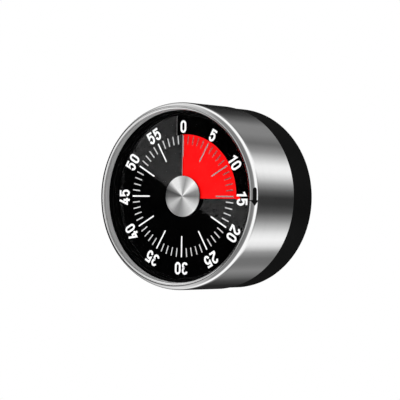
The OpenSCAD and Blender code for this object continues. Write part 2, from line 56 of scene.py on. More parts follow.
# %% [markdown]
# ## Driving sizes
# The frame tells where the front of the ring, the lens and the hub are. The other sizes below are millimetres
# on the timer's face. A depth d counts from the crest of the ring backwards.

# %% Sizes from the frame
MM = 0.001
FRONT_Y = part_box("bezel_ring")[0].y
RING_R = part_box("bezel_ring")[1].x
RING_BACK_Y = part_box("bezel_ring")[1].y
LENS_FRONT_Y, LENS_BACK_Y = (corner.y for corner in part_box("lens"))
LENS_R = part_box("lens")[1].x
FOIL_FRONT_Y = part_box("scale_foil")[0].y
CAP_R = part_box("hub_cap")[1].x
CAP_FRONT_Y, CAP_BACK_Y = (corner.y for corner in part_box("hub_cap"))


def behind_front(d):
    """y of a point d millimetres behind the crest of the ring."""
    return FRONT_Y + d * MM


print("ring radius %.2f mm, depth %.2f mm" % (RING_R / MM, (RING_BACK_Y - FRONT_Y) / MM))

# %% [markdown]
# ## Small helpers for meshes
# Most of the timer is round, so most pieces are turned: an outline of (radius, y) points is spun about the
# Y axis. Blender has a Spin tool and a Screw modifier for this. Building the rings of vertices directly keeps
# the faces in order, lets sharp corners be marked where the outline turns, and closes the surface exactly.

# %% Finish a mesh and hand it to the frame
SHARP = math.radians(28)


def finish_piece(name, mesh_builder, material, body, replaced=()):
    """Turns a bmesh into an object with smooth faces and sharp corners, and rides it on a body."""
    bmesh.ops.remove_doubles(mesh_builder, verts=mesh_builder.verts, dist=1e-7)
    bmesh.ops.recalc_face_normals(mesh_builder, faces=mesh_builder.faces)
    for face in mesh_builder.faces:
        face.smooth = True
    for edge in mesh_builder.edges:
        edge.smooth = len(edge.link_faces) == 2 and edge.calc_face_angle() < SHARP
    mesh = bpy.data.meshes.new(name)
    mesh_builder.to_mesh(mesh)
    mesh_builder.free()
    mesh.materials.append(material)
    piece = bpy.data.objects.new(name, mesh)
    bpy.context.scene.collection.objects.link(piece)
    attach(piece, body)
    if replaced:
        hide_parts(*replaced)
    return piece


# %% Turn an outline about the Y axis
AROUND = 192


def turned(outline, closed=True, around=AROUND):
    """A bmesh of the outline's (radius, y) points spun about the Y axis."""
    shape = bmesh.new()
    rings = []
    for radius, y in outline:
        if radius < 1e-9:
            rings.append([shape.verts.new((0, y, 0))] * around)
            continue
        turn = [2 * math.pi * k / around for k in range(around)]
        rings.append([shape.verts.new((radius * math.cos(a), y, radius * math.sin(a))) for a in turn])
    pairs = list(zip(rings, rings[1:]))
    if closed:
        pairs.append((rings[-1], rings[0]))
    for low, high in pairs:
        for k in range(around):
            corners = [low[k], low[(k + 1) % around], high[(k + 1) % around], high[k]]
            corners = [v for i, v in enumerate(corners) if v not in corners[:i]]
            if len(corners) > 2:
                shape.faces.new(corners)
    return shape


def arc(centre, radii, start, end, steps):
    """Points on an ellipse, from angle start to angle end in degrees."""
    angles = [math.radians(start + (end - start) * i / steps) for i in range(steps + 1)]
    return [(centre[0] + radii[0] * math.cos(a), centre[1] + radii[1] * math.sin(a)) for a in angles]


# %% A flat print: a thin slab on the dial's plane
def slab(shape, outline, y_front, thickness):
    """Adds a thin prism with the outline's (x, z) points to shape."""
    front = [shape.verts.new((x, y_front, z)) for x, z in outline]
    back = [shape.verts.new((x, y_front + thickness, z)) for x, z in outline]
    shape.faces.new(front)
    shape.faces.new(back[::-1])
    for k in range(len(outline)):
        n = (k + 1) % len(outline)
        shape.faces.new([front[k], front[n], back[n], back[k]])


# %% [markdown]
# ## Small helpers for materials
# A material is a small network of nodes. One helper places a node and links or sets its inputs, which keeps
# each finish below readable. Effects that several finishes share are node groups with named sockets.

# %% Place a node
def place(tree, kind, inputs=None, **settings):
    """Adds a node; inputs maps a socket's name or number to a value or to another node's output."""
    node = tree.nodes.new(kind)
    for name, value in settings.items():
        setattr(node, name, value)
    for name, value in (inputs or {}).items():
        if isinstance(value, bpy.types.NodeSocket):
            tree.links.new(value, node.inputs[name])
        else:
            node.inputs[name].default_value = value
    return node


def group(name, inputs, outputs):
    """An empty shader group with its sockets, and its two end nodes."""
    tree = bpy.data.node_groups.new(name, "ShaderNodeTree")
    for socket, kind, value in inputs:
        made = tree.interface.new_socket(socket, in_out="INPUT", socket_type=kind)
        made.default_value = value
    for socket, kind in outputs:
        tree.interface.new_socket(socket, in_out="OUTPUT", socket_type=kind)
    return tree, tree.nodes.new("NodeGroupInput"), tree.nodes.new("NodeGroupOutput")


def use(tree, shared, **inputs):
    """Places a shared group in a material."""
    named = {name.replace("_", " ").capitalize(): value for name, value in inputs.items()}
    return place(tree, "ShaderNodeGroup", named, node_tree=shared)


# %% Start a material
def new_material(name):
    """A material with only a Principled shader in it."""
    made = bpy.data.materials.new(name)
    made.use_nodes = True
    tree = made.node_tree
    tree.nodes.clear()
    shader = tree.nodes.new("ShaderNodeBsdfPrincipled")
    output = tree.nodes.new("ShaderNodeOutputMaterial")
    tree.links.new(shader.outputs[0], output.inputs["Surface"])
    return made, tree, shader


def mix_colours(tree, amount, low, high):
    """Mixes two colours by a mask."""
    node = place(tree, "ShaderNodeMix", data_type="RGBA")
    for number, value in ((0, amount), (6, low), (7, high)):
        if isinstance(value, bpy.types.NodeSocket):
            tree.links.new(value, node.inputs[number])
        else:
            node.inputs[number].default_value = value
    return node.outputs[2]


def spread(tree, mask, low, high):
    """Stretches a 0 to 1 mask to the range from low to high."""
    node = place(tree, "ShaderNodeMapRange", {"Value": mask, "To Min": low, "To Max": high})
    return node.outputs["Result"]


# %% [markdown]
# ## Shared effects
# *Turned lines* are the fine scratches that a lathe or a belt leaves round an axis. The noise is read on the
# radius and the depth, and only slowly round the turn, so it smears into lines. *Handling* is the faint cloud
# of wear and finger grease. *Moulded grain* is the fine texture that a tool leaves in plastic.

# %% Group: where a point is on a turned piece
turn_place, _, ends = group("turned_place", [], [
    ("Radius", "NodeSocketFloat"), ("Depth", "NodeSocketFloat"), ("Around", "NodeSocketVector"),
])
spot = place(turn_place, "ShaderNodeTexCoord").outputs["Object"]
flat_spot = place(turn_place, "ShaderNodeVectorMath", {0: spot, 1: (1, 0, 1)}, operation="MULTIPLY")
radius = place(turn_place, "ShaderNodeVectorMath", {0: flat_spot.outputs[0]}, operation="LENGTH")
heading = place(turn_place, "ShaderNodeVectorMath", {0: flat_spot.outputs[0]}, operation="NORMALIZE")
depth = place(turn_place, "ShaderNodeSeparateXYZ", {0: spot})
turn_place.links.new(radius.outputs["Value"], ends.inputs["Radius"])
turn_place.links.new(depth.outputs["Y"], ends.inputs["Depth"])
turn_place.links.new(heading.outputs[0], ends.inputs["Around"])

# %% Group: turned lines
turned_lines, given, ends = group("turned_lines", [
    ("Fineness", "NodeSocketFloat", 9000), ("Length", "NodeSocketFloat", 3),
], [("Mask", "NodeSocketFloat")])
at = place(turned_lines, "ShaderNodeGroup", node_tree=turn_place)
along = place(turned_lines, "ShaderNodeVectorMath", {0: at.outputs["Around"]}, operation="SCALE")
turned_lines.links.new(given.outputs["Length"], along.inputs["Scale"])
down = place(turned_lines, "ShaderNodeMath",
             {0: at.outputs["Depth"], 1: given.outputs["Fineness"]}, operation="MULTIPLY")
out = place(turned_lines, "ShaderNodeMath",
            {0: at.outputs["Radius"], 1: given.outputs["Fineness"]}, operation="MULTIPLY")
down_vector = place(turned_lines, "ShaderNodeCombineXYZ", {"Y": down.outputs[0]})
where = place(turned_lines, "ShaderNodeVectorMath", {0: along.outputs[0], 1: down_vector.outputs[0]})
lines = place(turned_lines, "ShaderNodeTexNoise", {
    "Vector": where.outputs[0], "W": out.outputs[0], "Scale": 1.0, "Detail": 3.0, "Roughness": 0.6,
}, noise_dimensions="4D")
turned_lines.links.new(lines.outputs["Fac"], ends.inputs["Mask"])

# %% Group: handling marks
handling, given, ends = group("handling", [("Size", "NodeSocketFloat", 120)], [("Mask", "NodeSocketFloat")])
spot = place(handling, "ShaderNodeTexCoord").outputs["Object"]
cloud = place(handling, "ShaderNodeTexNoise",
              {"Vector": spot, "Scale": given.outputs["Size"], "Detail": 4.0, "Roughness": 0.55})
soft = place(handling, "ShaderNodeMapRange",
             {"Value": cloud.outputs["Fac"], "From Min": 0.3, "From Max": 0.7}, clamp=True)
handling.links.new(soft.outputs["Result"], ends.inputs["Mask"])

# %% Group: moulded grain
moulded_grain, given, ends = group("moulded_grain", [
    ("Size", "NodeSocketFloat", 2600), ("Strength", "NodeSocketFloat", 0.2),
], [("Mask", "NodeSocketFloat"), ("Normal", "NodeSocketVector")])
spot = place(moulded_grain, "ShaderNodeTexCoord").outputs["Object"]
cells = place(moulded_grain, "ShaderNodeTexVoronoi", {"Vector": spot, "Scale": given.outputs["Size"]})
pits = place(moulded_grain, "ShaderNodeTexNoise",
             {"Vector": spot, "Scale": given.outputs["Size"], "Detail": 2.0})
both = place(moulded_grain, "ShaderNodeMath",
             {0: cells.outputs["Distance"], 1: pits.outputs["Fac"]}, operation="MULTIPLY")
bump = place(moulded_grain, "ShaderNodeBump", {
    "Height": both.outputs[0], "Strength": given.outputs["Strength"], "Distance": 0.00005,
})
moulded_grain.links.new(both.outputs[0], ends.inputs["Mask"])
moulded_grain.links.new(bump.outputs["Normal"], ends.inputs["Normal"])
print("shared effects:", [tree.name for tree in bpy.data.node_groups])

# %% [markdown]
# ## Steel of the ring
# The ring is a drawn and turned steel shell, polished with a fine belt. Its tone is painted in bands over the
# radius: painted shade darkens the crest and, a little, the land inside it, and a painted highlight brightens
# the outer shoulder. A ramp over the radius sets those bands, and turned lines break up the tone and the
# gloss.
# The slope down to the lens isn't polished, so there the roughness is high and the steel reads as an even
# grey.
# The metal mirrors the studio, so elsewhere its roughness stays low.

# %% Material: brushed steel
STEEL_TONE = 0.86
RAMP_FROM, RAMP_TO = 38 * MM, 40 * MM       # the first tone holds inside it, and the last one outside
# Tone by radius in mm: painted shade over the crest, and a painted highlight from 39.45 mm outwards.
CREST_PAINTED_SHADING = [(38, 0.7), (38.12, 0.4), (38.55, 0.45), (38.8, 0.66), (39.2, 0.66), (39.45, 1.0)]
SATIN_BELOW = 36.95 * MM
POLISHED_FROM = 37.1 * MM


def ring_steel():
    """Steel whose tone and gloss change over the radius, from the land over the crest to the side; the tone
    bands are painted shade and a painted highlight.
    """
    made, tree, shader = new_material("ring_steel")
    at = place(tree, "ShaderNodeGroup", node_tree=turn_place)
    fine = use(tree, turned_lines, fineness=9000.0, length=2.5)
    coarse = use(tree, turned_lines, fineness=2200.0, length=1.2)
    both = place(tree, "ShaderNodeMath", {0: fine.outputs[0], 1: coarse.outputs[0]}, operation="ADD")
    streaks = spread(tree, both.outputs[0], 0.8 * STEEL_TONE, 1.02 * STEEL_TONE)
    band_place = place(tree, "ShaderNodeMapRange",
                       {"Value": at.outputs["Radius"], "From Min": RAMP_FROM, "From Max": RAMP_TO})
    shading_bands = place(tree, "ShaderNodeValToRGB", {"Fac": band_place.outputs["Result"]})
    while len(shading_bands.color_ramp.elements) < len(CREST_PAINTED_SHADING):
        shading_bands.color_ramp.elements.new(0.5)
    for element, (mm, tone) in zip(shading_bands.color_ramp.elements, CREST_PAINTED_SHADING):
        element.position = (mm * MM - RAMP_FROM) / (RAMP_TO - RAMP_FROM)
        element.color = (tone, tone, tone, 1)
    painted_tone = place(tree, "ShaderNodeVectorMath", {0: shading_bands.outputs["Color"]}, operation="SCALE")
    tree.links.new(streaks, painted_tone.inputs["Scale"])
    tree.links.new(painted_tone.outputs[0], shader.inputs["Base Color"])
    wear = use(tree, handling, size=90.0)
    polished = place(tree, "ShaderNodeMath", {
        0: spread(tree, both.outputs[0], 0.05, 0.08), 1: spread(tree, wear.outputs[0], 0.0, 0.02),
    })
    satin = place(tree, "ShaderNodeMapRange", {
        "Value": at.outputs["Radius"], "From Min": SATIN_BELOW, "From Max": POLISHED_FROM,
        "To Min": 1.0, "To Max": 0.0,
    }).outputs["Result"]
    rough = place(tree, "ShaderNodeMath",
                  {0: polished.outputs[0], 1: spread(tree, satin, 0.0, 0.6)}, operation="MAXIMUM")
    tree.links.new(rough.outputs[0], shader.inputs["Roughness"])
    tree.links.new(spread(tree, satin, 1.0, 0.55), shader.inputs["Metallic"])
    return made


RING_STEEL = ring_steel()

# %% [markdown]
# ## Plastics
# The base and the lens seat are moulded in black, satin plastic. The parts inside are a little greyer.
# A fine grain in the normal breaks the highlights, and the grain also shifts colour and roughness slightly.

# %% Material: moulded plastic
def plastic(name, tone, roughness, grain, specular=0.5):
    """A grey plastic; grain is the number of grains along a metre."""
    made, tree, shader = new_material(name)
    texture = use(tree, moulded_grain, size=grain, strength=0.18)
    marks = use(tree, handling, size=70.0)
    colour = mix_colours(tree, marks.outputs[0],
                         (tone * 0.8, tone * 0.8, tone * 0.84, 1), (tone * 1.2, tone * 1.2, tone * 1.2, 1))
    tree.links.new(colour, shader.inputs["Base Color"])
    tree.links.new(spread(tree, texture.outputs["Mask"], roughness - 0.05, roughness + 0.1),
                   shader.inputs["Roughness"])
    tree.links.new(texture.outputs["Normal"], shader.inputs["Normal"])
    shader.inputs["Specular IOR Level"].default_value = specular
    return made


BLACK_PLASTIC = plastic("black_plastic", 0.002, 0.5, 2600.0, specular=0.02)
SEAT_PLASTIC = plastic("seat_plastic", 0.001, 0.55, 3200.0, specular=0.02)
INNER_PLASTIC = plastic("inner_plastic", 0.004, 0.55, 2400.0, specular=0.05)
PAD_RUBBER = plastic("pad_rubber", 0.02, 0.75, 1800.0, specular=0.3)
FILM_BLACK = plastic("film_black", 0.001, 0.6, 2000.0, specular=0.0)
ARROW_PRINT = plastic("arrow_print", 0.002, 0.55, 3600.0, specular=0.05)

# %% [markdown]
# ## Red film
# The red disc is matte printed film. Its colour is mixed from two close reds so that it isn't dead flat.

# %% Material: red film
def red_film():
    """Matte print, nearly one red all over."""
    made, tree, shader = new_material("red_film")
    texture = use(tree, moulded_grain, size=1500.0, strength=0.1)
    marks = use(tree, handling, size=260.0)
    tree.links.new(mix_colours(tree, marks.outputs[0], (0.96, 0.003, 0.004, 1), (1.0, 0.006, 0.006, 1)),
                   shader.inputs["Base Color"])
    tree.links.new(spread(tree, texture.outputs["Mask"], 0.55, 0.7), shader.inputs["Roughness"])
    shader.inputs["Specular IOR Level"].default_value = 0.03
    return made


DISC_RED = red_film()

# %% Material: glossy black sheet
def dial_black():
    """Black sheet smooth enough to mirror the sheen card."""
    made, tree, shader = new_material("dial_black")
    marks = use(tree, handling, size=150.0)
    tree.links.new(mix_colours(tree, marks.outputs[0], (0.0004, 0.0004, 0.0005, 1), (0.001, 0.001, 0.001, 1)),
                   shader.inputs["Base Color"])
    tree.links.new(spread(tree, marks.outputs[0], 0.02, 0.035), shader.inputs["Roughness"])
    shader.inputs["Specular IOR Level"].default_value = 0.25
    return made


DIAL_BLACK = dial_black()

# %% Material: painted highlight on the cut edge of the sheet
def cut_edge():
    """Pale grey on the sheet's cut ends: a painted highlight where the edge catches the light."""
    made, tree, shader = new_material("cut_edge")
    marks = use(tree, handling, size=500.0)
    tree.links.new(mix_colours(tree, marks.outputs[0], (0.34, 0.34, 0.35, 1), (0.5, 0.5, 0.51, 1)),
                   shader.inputs["Base Color"])
    shader.inputs["Roughness"].default_value = 0.5
    return made


CUT_EDGE_HIGHLIGHT = cut_edge()

# %% [markdown]
# ## White print
# The numerals and the ticks are screen printed on the clear film. Ink is thin, so a little of what lies
# behind shows through it: the alpha is a plain value on the shader. Thin ticks carry less ink than
# numerals, and in the first quarter hour, where the red film lies behind them most, they carry least.

# %% Material: white ink
def ink(name, cover):
    """White ink; cover is the share of what lies behind that it hides."""
    made, tree, shader = new_material(name)
    patches = use(tree, handling, size=900.0)
    tree.links.new(mix_colours(tree, patches.outputs[0], (0.86, 0.86, 0.87, 1), (0.95, 0.95, 0.95, 1)),
                   shader.inputs["Base Color"])
    tree.links.new(spread(tree, patches.outputs[0], 0.5, 0.65), shader.inputs["Roughness"])
    shader.inputs["Specular IOR Level"].default_value = 0.1
    shader.inputs["Alpha"].default_value = cover
    return made


NUMERAL_INK = ink("numeral_ink", 1.0)
LONG_INK = ink("long_tick_ink", 0.85)
SHORT_INK = ink("short_tick_ink", 0.38)
LONG_INK_THIN = ink("long_tick_ink_first_quarter", 0.14)
SHORT_INK_THIN = ink("short_tick_ink_first_quarter", 0.05)

# %% [markdown]
# ## Clear parts
# The lens and the scale film are clear plastic sheets, flat and thin, so they don't bend what is behind them.
# A Transparent shader lets the dial through without noise, and Fresnel adds a weak reflection.

# %% Material: clear sheet
def clear_sheet(name, index, roughness):
    """A sheet that is looked straight through; a low index keeps its reflection weak."""
    made, tree, shader = new_material(name)
    tree.nodes.remove(shader)
    smudges = use(tree, handling, size=60.0)
    gloss = place(tree, "ShaderNodeBsdfGlossy", {
        "Color": (1, 1, 1, 1), "Roughness": spread(tree, smudges.outputs[0], roughness, roughness * 2),
    })
    clear = place(tree, "ShaderNodeBsdfTransparent", {
        "Color": mix_colours(tree, smudges.outputs[0], (0.995, 0.995, 0.995, 1), (1, 1, 1, 1)),
    })
    share = place(tree, "ShaderNodeFresnel", {"IOR": index})
    both = place(tree, "ShaderNodeMixShader", {0: share.outputs[0], 1: clear.outputs[0], 2: gloss.outputs[0]})
    tree.links.new(both.outputs[0], tree.nodes["Material Output"].inputs["Surface"])
    return made


LENS_CLEAR = clear_sheet("lens_clear", 1.02, 0.03)
FOIL_CLEAR = clear_sheet("foil_clear", 1.01, 0.08)

# %% [markdown]
# ## Metals inside
# The works are brass, turned steel, blued spring steel and a plated bell, with a sintered magnet behind.
# One function makes them all, with its own colours, roughness and size of scratch.

# %% Material: worked metal
def metal(name, dark, light, roughness, scratch, metallic=1.0):
    """A worked metal between two colours; scratch sets how fine its scratches are."""
    made, tree, shader = new_material(name)
    spot = place(tree, "ShaderNodeTexCoord").outputs["Object"]
    stretched = place(tree, "ShaderNodeVectorMath", {0: spot, 1: (1, 0.15, 1)}, operation="MULTIPLY")
    grain = place(tree, "ShaderNodeTexNoise",
                  {"Vector": stretched.outputs[0], "Scale": scratch, "Detail": 5.0, "Roughness": 0.65})
    marks = use(tree, handling, size=240.0)
    blend = place(tree, "ShaderNodeMath",
                  {0: grain.outputs["Fac"], 1: marks.outputs[0]}, operation="MULTIPLY")
    tree.links.new(mix_colours(tree, blend.outputs[0], (*dark, 1), (*light, 1)), shader.inputs["Base Color"])
    tree.links.new(spread(tree, grain.outputs["Fac"], roughness - 0.08, roughness + 0.12),
                   shader.inputs["Roughness"])
    bump = place(tree, "ShaderNodeBump",
                 {"Height": grain.outputs["Fac"], "Strength": 0.15, "Distance": 0.00003})
    tree.links.new(bump.outputs["Normal"], shader.inputs["Normal"])
    shader.inputs["Metallic"].default_value = metallic
    return made


WORKS = {
    "brass": metal("brass", (0.55, 0.36, 0.12), (0.82, 0.62, 0.27), 0.3, 1800.0),
    "steel": metal("steel", (0.38, 0.38, 0.4), (0.66, 0.66, 0.68), 0.3, 2600.0),
    "spring_steel": metal("spring_steel", (0.1, 0.12, 0.17), (0.25, 0.28, 0.34), 0.32, 2200.0),
    "gong_steel": metal("gong_steel", (0.62, 0.62, 0.64), (0.85, 0.85, 0.87), 0.18, 900.0),
    "ferrite": metal("ferrite", (0.05, 0.05, 0.055), (0.11, 0.11, 0.12), 0.7, 3000.0, metallic=0.0),
}
print("materials:", len(bpy.data.materials))

# %% [markdown]
# ## Spun aluminium of the hub cap
# The cap's face is spun: its scratches run round the centre. Such a face shows bright wedge-shaped highlights
# through the centre. The tent is too even to make them sharp, so a ramp over the angle paints them into the
# metal's colour as well, as painted highlights and painted shade, and the anisotropic shader gets a tangent
# that runs round the Y axis.

# %% Material: spun aluminium
# Painted highlights and shade: the cap's tone by angle round its centre, in degrees from +X.
PAINTED_WEDGE_LIGHT = [
    (-180, 0.1), (-166, 0.3), (-150, 0.5), (-138, 0.46), (-120, 0.26), (-105, 0.22), (-88, 0.3),
    (-68, 0.5), (-45, 0.7), (-30, 0.6), (-16, 0.38), (0, 0.15), (18, 0.24), (32, 0.6), (45, 0.88),
    (60, 0.55), (76, 0.28), (90, 0.44), (108, 0.78), (132, 0.82), (146, 0.24), (162, 0.05), (180, 0.12),
]


def ring_of_tones(tree, share, tones):
    """A value that follows the angle round the Y axis; tones are (degrees, value)."""
    ramp_node = place(tree, "ShaderNodeValToRGB", {"Fac": share})
    ramp = ramp_node.color_ramp
    while len(ramp.elements) < len(tones):
        ramp.elements.new(0.5)
    for element, (angle, tone) in zip(ramp.elements, tones):
        element.position = angle / 360 + 0.5
        element.color = (tone, tone, tone, 1)
    return ramp_node.outputs["Color"]


def share_of_turn(tree, direction):
    """0 to 1 round the Y axis, from -180 to 180 degrees; 0 degrees is +X and 90 degrees is +Z."""
    parts = place(tree, "ShaderNodeSeparateXYZ", {0: direction})
    angle = place(tree, "ShaderNodeMath",
                  {0: parts.outputs["Z"], 1: parts.outputs["X"]}, operation="ARCTAN2")
    share = place(tree, "ShaderNodeMapRange",
                  {"Value": angle.outputs[0], "From Min": -math.pi, "From Max": math.pi})
    return share.outputs["Result"]


def cap_aluminium():
    """Metal with fine rings, and with bright and dark wedge shapes painted into its tone round its centre as
    highlights and shade.
    """
    made, tree, shader = new_material("cap_aluminium")
    at = place(tree, "ShaderNodeGroup", node_tree=turn_place)
    fine = use(tree, turned_lines, fineness=14000.0, length=2.0)
    wedge_light = ring_of_tones(tree, share_of_turn(tree, at.outputs["Around"]), PAINTED_WEDGE_LIGHT)
    painted_tone = place(tree, "ShaderNodeVectorMath", {0: wedge_light}, operation="SCALE")
    tree.links.new(spread(tree, fine.outputs[0], 0.8, 1.25), painted_tone.inputs["Scale"])
    tree.links.new(painted_tone.outputs[0], shader.inputs["Base Color"])
    tree.links.new(spread(tree, fine.outputs[0], 0.3, 0.4), shader.inputs["Roughness"])
    round_axis = place(tree, "ShaderNodeTangent", direction_type="RADIAL", axis="Y")
    tree.links.new(round_axis.outputs[0], shader.inputs["Tangent"])
    shader.inputs["Metallic"].default_value = 0.5
    shader.inputs["Anisotropic"].default_value = 0.85
    return made


CAP_ALUMINIUM = cap_aluminium()

# %% [markdown]
# ## The steel ring
# The ring is one drawn shell, 0.8 mm thick. Seen from the front it rises from the inner edge over a small
# round, runs over the crest and rolls down a deep shoulder into the side. Its outline is two parts of
# ellipses and straight lines, turned with many steps so that the light runs over it without facets.

# %% Ring
RING_WALL = 0.8 * MM
CREST_R = 38.1 * MM
SHOULDER = 4.2
INNER_ROUND = 0.6
RING_AROUND = 256
LAND_R = 37 * MM
LIP_R = 36.74 * MM
SLOPE_BACK, LIP_BACK = 2.79, 3.2
REAR_ROUND = 0.25 * MM
SHOULDER_STEPS, ROUND_STEPS = 28, 14
ring_outline = (
    [(RING_R - RING_WALL, RING_BACK_Y), (RING_R - REAR_ROUND, RING_BACK_Y)]
    + [(RING_R, RING_BACK_Y - REAR_ROUND)]
    + arc((CREST_R, behind_front(SHOULDER)), (RING_R - CREST_R, SHOULDER * MM), 0, -90, SHOULDER_STEPS)
    + arc((CREST_R, behind_front(INNER_ROUND)), (CREST_R - LAND_R, INNER_ROUND * MM), -100, -180,
          ROUND_STEPS)
    + [(LIP_R, behind_front(SLOPE_BACK)), (LIP_R, behind_front(LIP_BACK))]
    + [(RING_R - RING_WALL, behind_front(LIP_BACK))]
)
ring = finish_piece("steel_ring", turned(ring_outline, around=RING_AROUND), RING_STEEL,
                    "setting_ring", ["bezel_ring"])
print("ring faces:", len(ring.data.polygons), "from an outline of", len(ring_outline), "points")

# %% [markdown]
# ## Lens, lens seat and scale film
# The lens is a flat clear disc with broken edges. A black seat holds it under the lip, and behind it sits
# the clear film that carries the scale. The film is fixed, while the lens turns with the ring.

# %% Lens and its seat
EDGE_BREAK = 0.12 * MM
SEAT_FRONT = 3.25
SEAT_WALL = 0.3 * MM
SEAT_ROUND = 0.1 * MM
lens_outline = [
    (0, LENS_FRONT_Y), (LENS_R - EDGE_BREAK, LENS_FRONT_Y), (LENS_R, LENS_FRONT_Y + EDGE_BREAK),
    (LENS_R, LENS_BACK_Y - EDGE_BREAK), (LENS_R - EDGE_BREAK, LENS_BACK_Y), (0, LENS_BACK_Y),
]
lens = finish_piece("window_lens", turned(lens_outline, closed=False), LENS_CLEAR,
                    "setting_ring", ["lens"])
seat_outline = [
    (LENS_R, behind_front(SEAT_FRONT)), (LENS_R, LENS_FRONT_Y),
    (LIP_R - SEAT_WALL + SEAT_ROUND, LENS_FRONT_Y), (LIP_R - SEAT_WALL, LENS_FRONT_Y - SEAT_ROUND),
    (LIP_R - SEAT_ROUND, behind_front(SEAT_FRONT)),
]
seat = finish_piece("lens_seat", turned(seat_outline), SEAT_PLASTIC,
                    "setting_ring", ["lens_retainer"])
print("lens faces:", len(lens.data.polygons), "seat faces:", len(seat.data.polygons))

# %% Scale film
FOIL_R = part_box("scale_foil")[1].x
FOIL_BACK_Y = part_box("scale_foil")[1].y
FOIL_HOLE_R = 9.2 * MM
film_outline = [
    (FOIL_HOLE_R, FOIL_FRONT_Y), (FOIL_R, FOIL_FRONT_Y), (FOIL_R, FOIL_BACK_Y), (FOIL_HOLE_R, FOIL_BACK_Y),
]
finish_piece("scale_film", turned(film_outline), FOIL_CLEAR, "housing", ["scale_foil"])
print("film %.1f mm across, %.2f mm thick" % (2 * FOIL_R / MM, (FOIL_BACK_Y - FOIL_FRONT_Y) / MM))

# %% [markdown]
# ## Hub cap
# A thin spun disc covers the screw that carries the lens. Its rim has a small bevel that catches the light.

# %% Hub cap
BEVEL = 0.2 * MM
BACK_EDGE = 0.05 * MM
FACE_RINGS = 6
cap_outline = (
    [(0, CAP_BACK_Y), (CAP_R - BACK_EDGE, CAP_BACK_Y), (CAP_R, CAP_BACK_Y - BACK_EDGE)]
    + [(CAP_R, CAP_FRONT_Y + BEVEL), (CAP_R - 2 * BEVEL, CAP_FRONT_Y)]
    + [(CAP_R * k / FACE_RINGS, CAP_FRONT_Y) for k in range(FACE_RINGS - 1, -1, -1)]
)
cap = finish_piece("spun_cap", turned(cap_outline, closed=False), CAP_ALUMINIUM,
                   "setting_ring", ["hub_cap"])
print("cap faces:", len(cap.data.polygons))

# %% [markdown]
# ## Dial sheet and red disc
# This is the heart of the timer. The dial is a sheet that is cut beside 12 o'clock and rises like one turn of
# a spiral ramp. The red film is a second ramp of the same pitch. Where the ring screws it forward it comes
# out of the cut and covers the dial, and at zero it has gone back behind it. Both are strips of quads whose
# depth follows the angle, so each keeps its thickness and its real cut edges.

# %% Helicoid strips
PITCH = 1.2 * MM
DISC_START_Y = behind_front(7.5)
RAMP_STEPS = 240
DISC_ABOVE_DIAL = 0.45 * MM
DIAL_T = 0.4 * MM
DISC_T = 0.2 * MM


def ramp_point(radius, angle, y_start, back):
    """A point on the ramp; the angle runs clockwise from 12 o'clock, in degrees."""
    a = math.radians(angle)
    return (radius * math.sin(a), y_start - PITCH * angle / 360 + back, radius * math.cos(a))


def ramp_strip(shape, radii, start, end, y_start, thickness, steps):
    """Adds a closed ramp to shape. start and end give the angle of each end at a radius.
    Returns the faces of the two cut ends."""
    grid = []
    for i in range(steps + 1):
        share = i / steps
        row = []
        for back in (0, thickness):
            angles = [start(r) + (end(r) - start(r)) * share for r in radii]
            row.append([shape.verts.new(ramp_point(r, a, y_start, back)) for r, a in zip(radii, angles)])
        grid.append(row)
    for low, high in zip(grid, grid[1:]):
        for j in range(len(radii) - 1):
            shape.faces.new([low[0][j], low[0][j + 1], high[0][j + 1], high[0][j]])
            shape.faces.new([low[1][j], high[1][j], high[1][j + 1], low[1][j + 1]])
        for j in (0, len(radii) - 1):
            shape.faces.new([low[0][j], high[0][j], high[1][j], low[1][j]])
    cuts = []
    for row in (grid[0], grid[-1]):
        for j in range(len(radii) - 1):
            cuts.append(shape.faces.new([row[0][j], row[0][j + 1], row[1][j + 1], row[1][j]]))
    return cuts


def steps_between(low, high, count):
    """count + 1 even steps from low to high."""
    return [low + (high - low) * i / count for i in range(count + 1)]


# %% Dial sheet
DIAL_IN_R = 8.5 * MM
STEP_R = 26.4 * MM
DIAL_OUT_R = 34.73 * MM
SLIT_BACK = 1 * MM
SLIT_STEP_BACK = 4 * MM
dial_y = DISC_START_Y + DISC_ABOVE_DIAL


def beside(angle, offset):
    """An end cut straight, parallel to the radius at angle and offset past it."""
    return lambda r: angle + math.degrees(math.asin(offset / r))


dial_shape = bmesh.new()
edges = ramp_strip(dial_shape, steps_between(DIAL_IN_R, STEP_R, 6), beside(0, -SLIT_BACK),
                   beside(360, -SLIT_BACK), dial_y, DIAL_T, RAMP_STEPS)
edges += ramp_strip(dial_shape, steps_between(STEP_R, DIAL_OUT_R, 4), beside(0, -SLIT_STEP_BACK),
                    beside(360, -SLIT_STEP_BACK), dial_y, DIAL_T, RAMP_STEPS)
# The cut ends of the dial get the pale grey of the painted edge highlight.
for face in edges:
    face.material_index = 1
dial = finish_piece("dial_sheet_cut", dial_shape, DIAL_BLACK, "housing", ["dial_sheet"])
dial.data.materials.append(CUT_EDGE_HIGHLIGHT)


FORWARD = Vector((0, -1, 0))
FACES_FORWARD = 0.9


def flatten_shading(piece):
    """Shades the faces that look forward as one flat sheet, because the ramp is too gentle to be seen."""
    mesh = piece.data
    normals = []
    for face in mesh.polygons:
        shown = FORWARD if face.normal.dot(FORWARD) > FACES_FORWARD else face.normal
        normals += [shown] * face.loop_total
    mesh.normals_split_custom_set(normals)


flatten_shading(dial)
print("dial faces:", len(dial.data.polygons))

